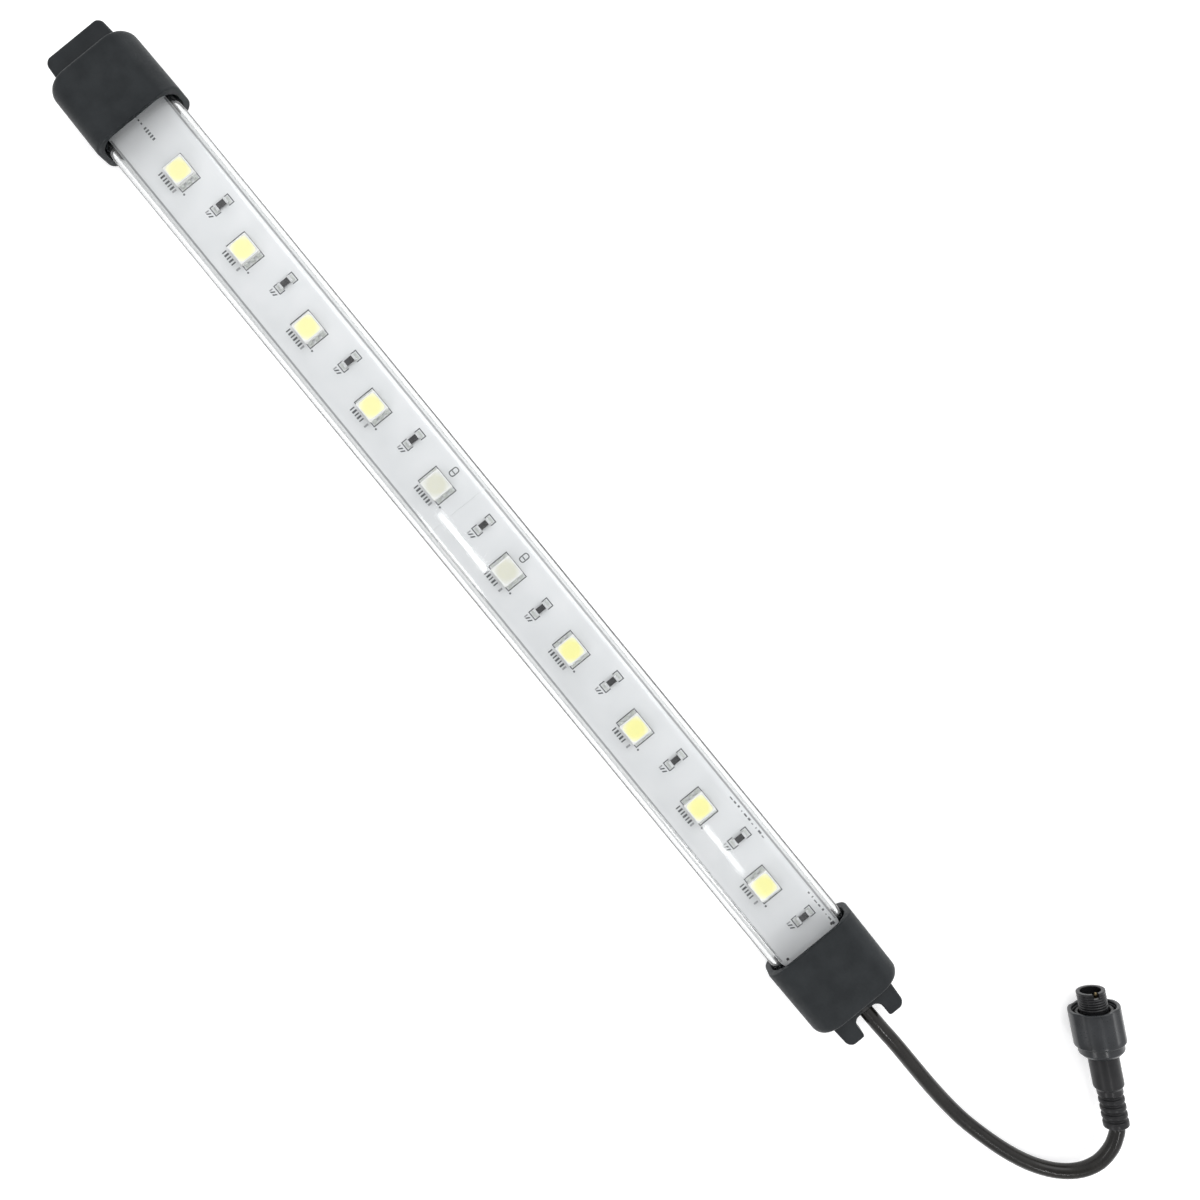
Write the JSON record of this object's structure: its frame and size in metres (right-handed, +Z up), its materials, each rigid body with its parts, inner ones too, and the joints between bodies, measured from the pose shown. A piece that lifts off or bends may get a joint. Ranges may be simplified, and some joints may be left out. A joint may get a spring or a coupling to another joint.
{
  "type": "barber pole light",
  "caption": "Waterproof LED light bar: clear oval tube over a row of LEDs on a white board, a black cap on each end, and a short cable ending in a screw-locked connector.",
  "frame": {"origin": "under the middle of the bar, on the surface that it lies on", "axes": "+X along the bar towards the cable, +Y across it towards the resistors' side, +Z up, the way the LEDs face"},
  "size_m": [0.332, 0.0551, 0.013],
  "materials": {
    "clear_tube": "clear polished extrusion",
    "cap": "fine satin moulding",
    "board": "white solder mask",
    "led": "white housing with a pale yellow phosphor fill",
    "resistor": "glazed black body with tinned ends",
    "solder": "bright solder",
    "seal_rubber": "matt",
    "lead_red": "smooth insulation",
    "lead_black": "smooth insulation",
    "cable": "satin jacket",
    "connector_grip": "satin moulding",
    "connector_insert": "semi-gloss moulding",
    "contact": "plated",
    "o_ring": "smooth",
    "washer": "natural nylon",
    "nut": "satin moulding"
  },
  "bodies": {
    "lamp": {"clear_tube": "clear_tube", "end_cap_plain": "cap", "end_cap_cable": "cap", "board_a": "board", "board_b": "board", "tube_plug_plain": "seal_rubber", "tube_plug_cable": "seal_rubber", "gasket_plain": "seal_rubber", "gasket_cable": "seal_rubber", "jumper_pos": "solder", "jumper_neg": "solder", "cable_gland": "cable", "lead_pos": "lead_red", "lead_neg": "lead_black", "cable": "cable", "connector_grip": "connector_grip", "connector_insert": "connector_insert", "contact_pin_pos": "contact", "contact_pin_neg": "contact", "connector_o_ring": "o_ring", "led_01": "led", "led_02": "led", "led_03": "led", "led_04": "led", "led_05": "led", "led_06": "led", "led_07": "led", "led_08": "led", "led_09": "led", "led_10": "led", "resistor_01": "resistor", "resistor_02": "resistor", "resistor_03": "resistor", "resistor_04": "resistor", "resistor_05": "resistor", "resistor_06": "resistor", "resistor_07": "resistor", "resistor_08": "resistor", "resistor_09": "resistor", "resistor_10": "resistor"},
    "washer": {"slip_washer": "washer"},
    "nut": {"coupling_nut": "nut"}
  },
  "joints": [
    {"name": "nut_slide", "type": "slide", "parent": "lamp", "child": "washer", "axis": [-0.8813, 0.4726, 0], "range_m": [-0.007, 0.0036]},
    {"name": "nut_spin", "type": "hinge", "parent": "washer", "child": "nut", "pos_m": [0.16901, 0.0369, 0.0055], "axis": [-0.8813, 0.4726, 0], "continuous": true}
  ]
}
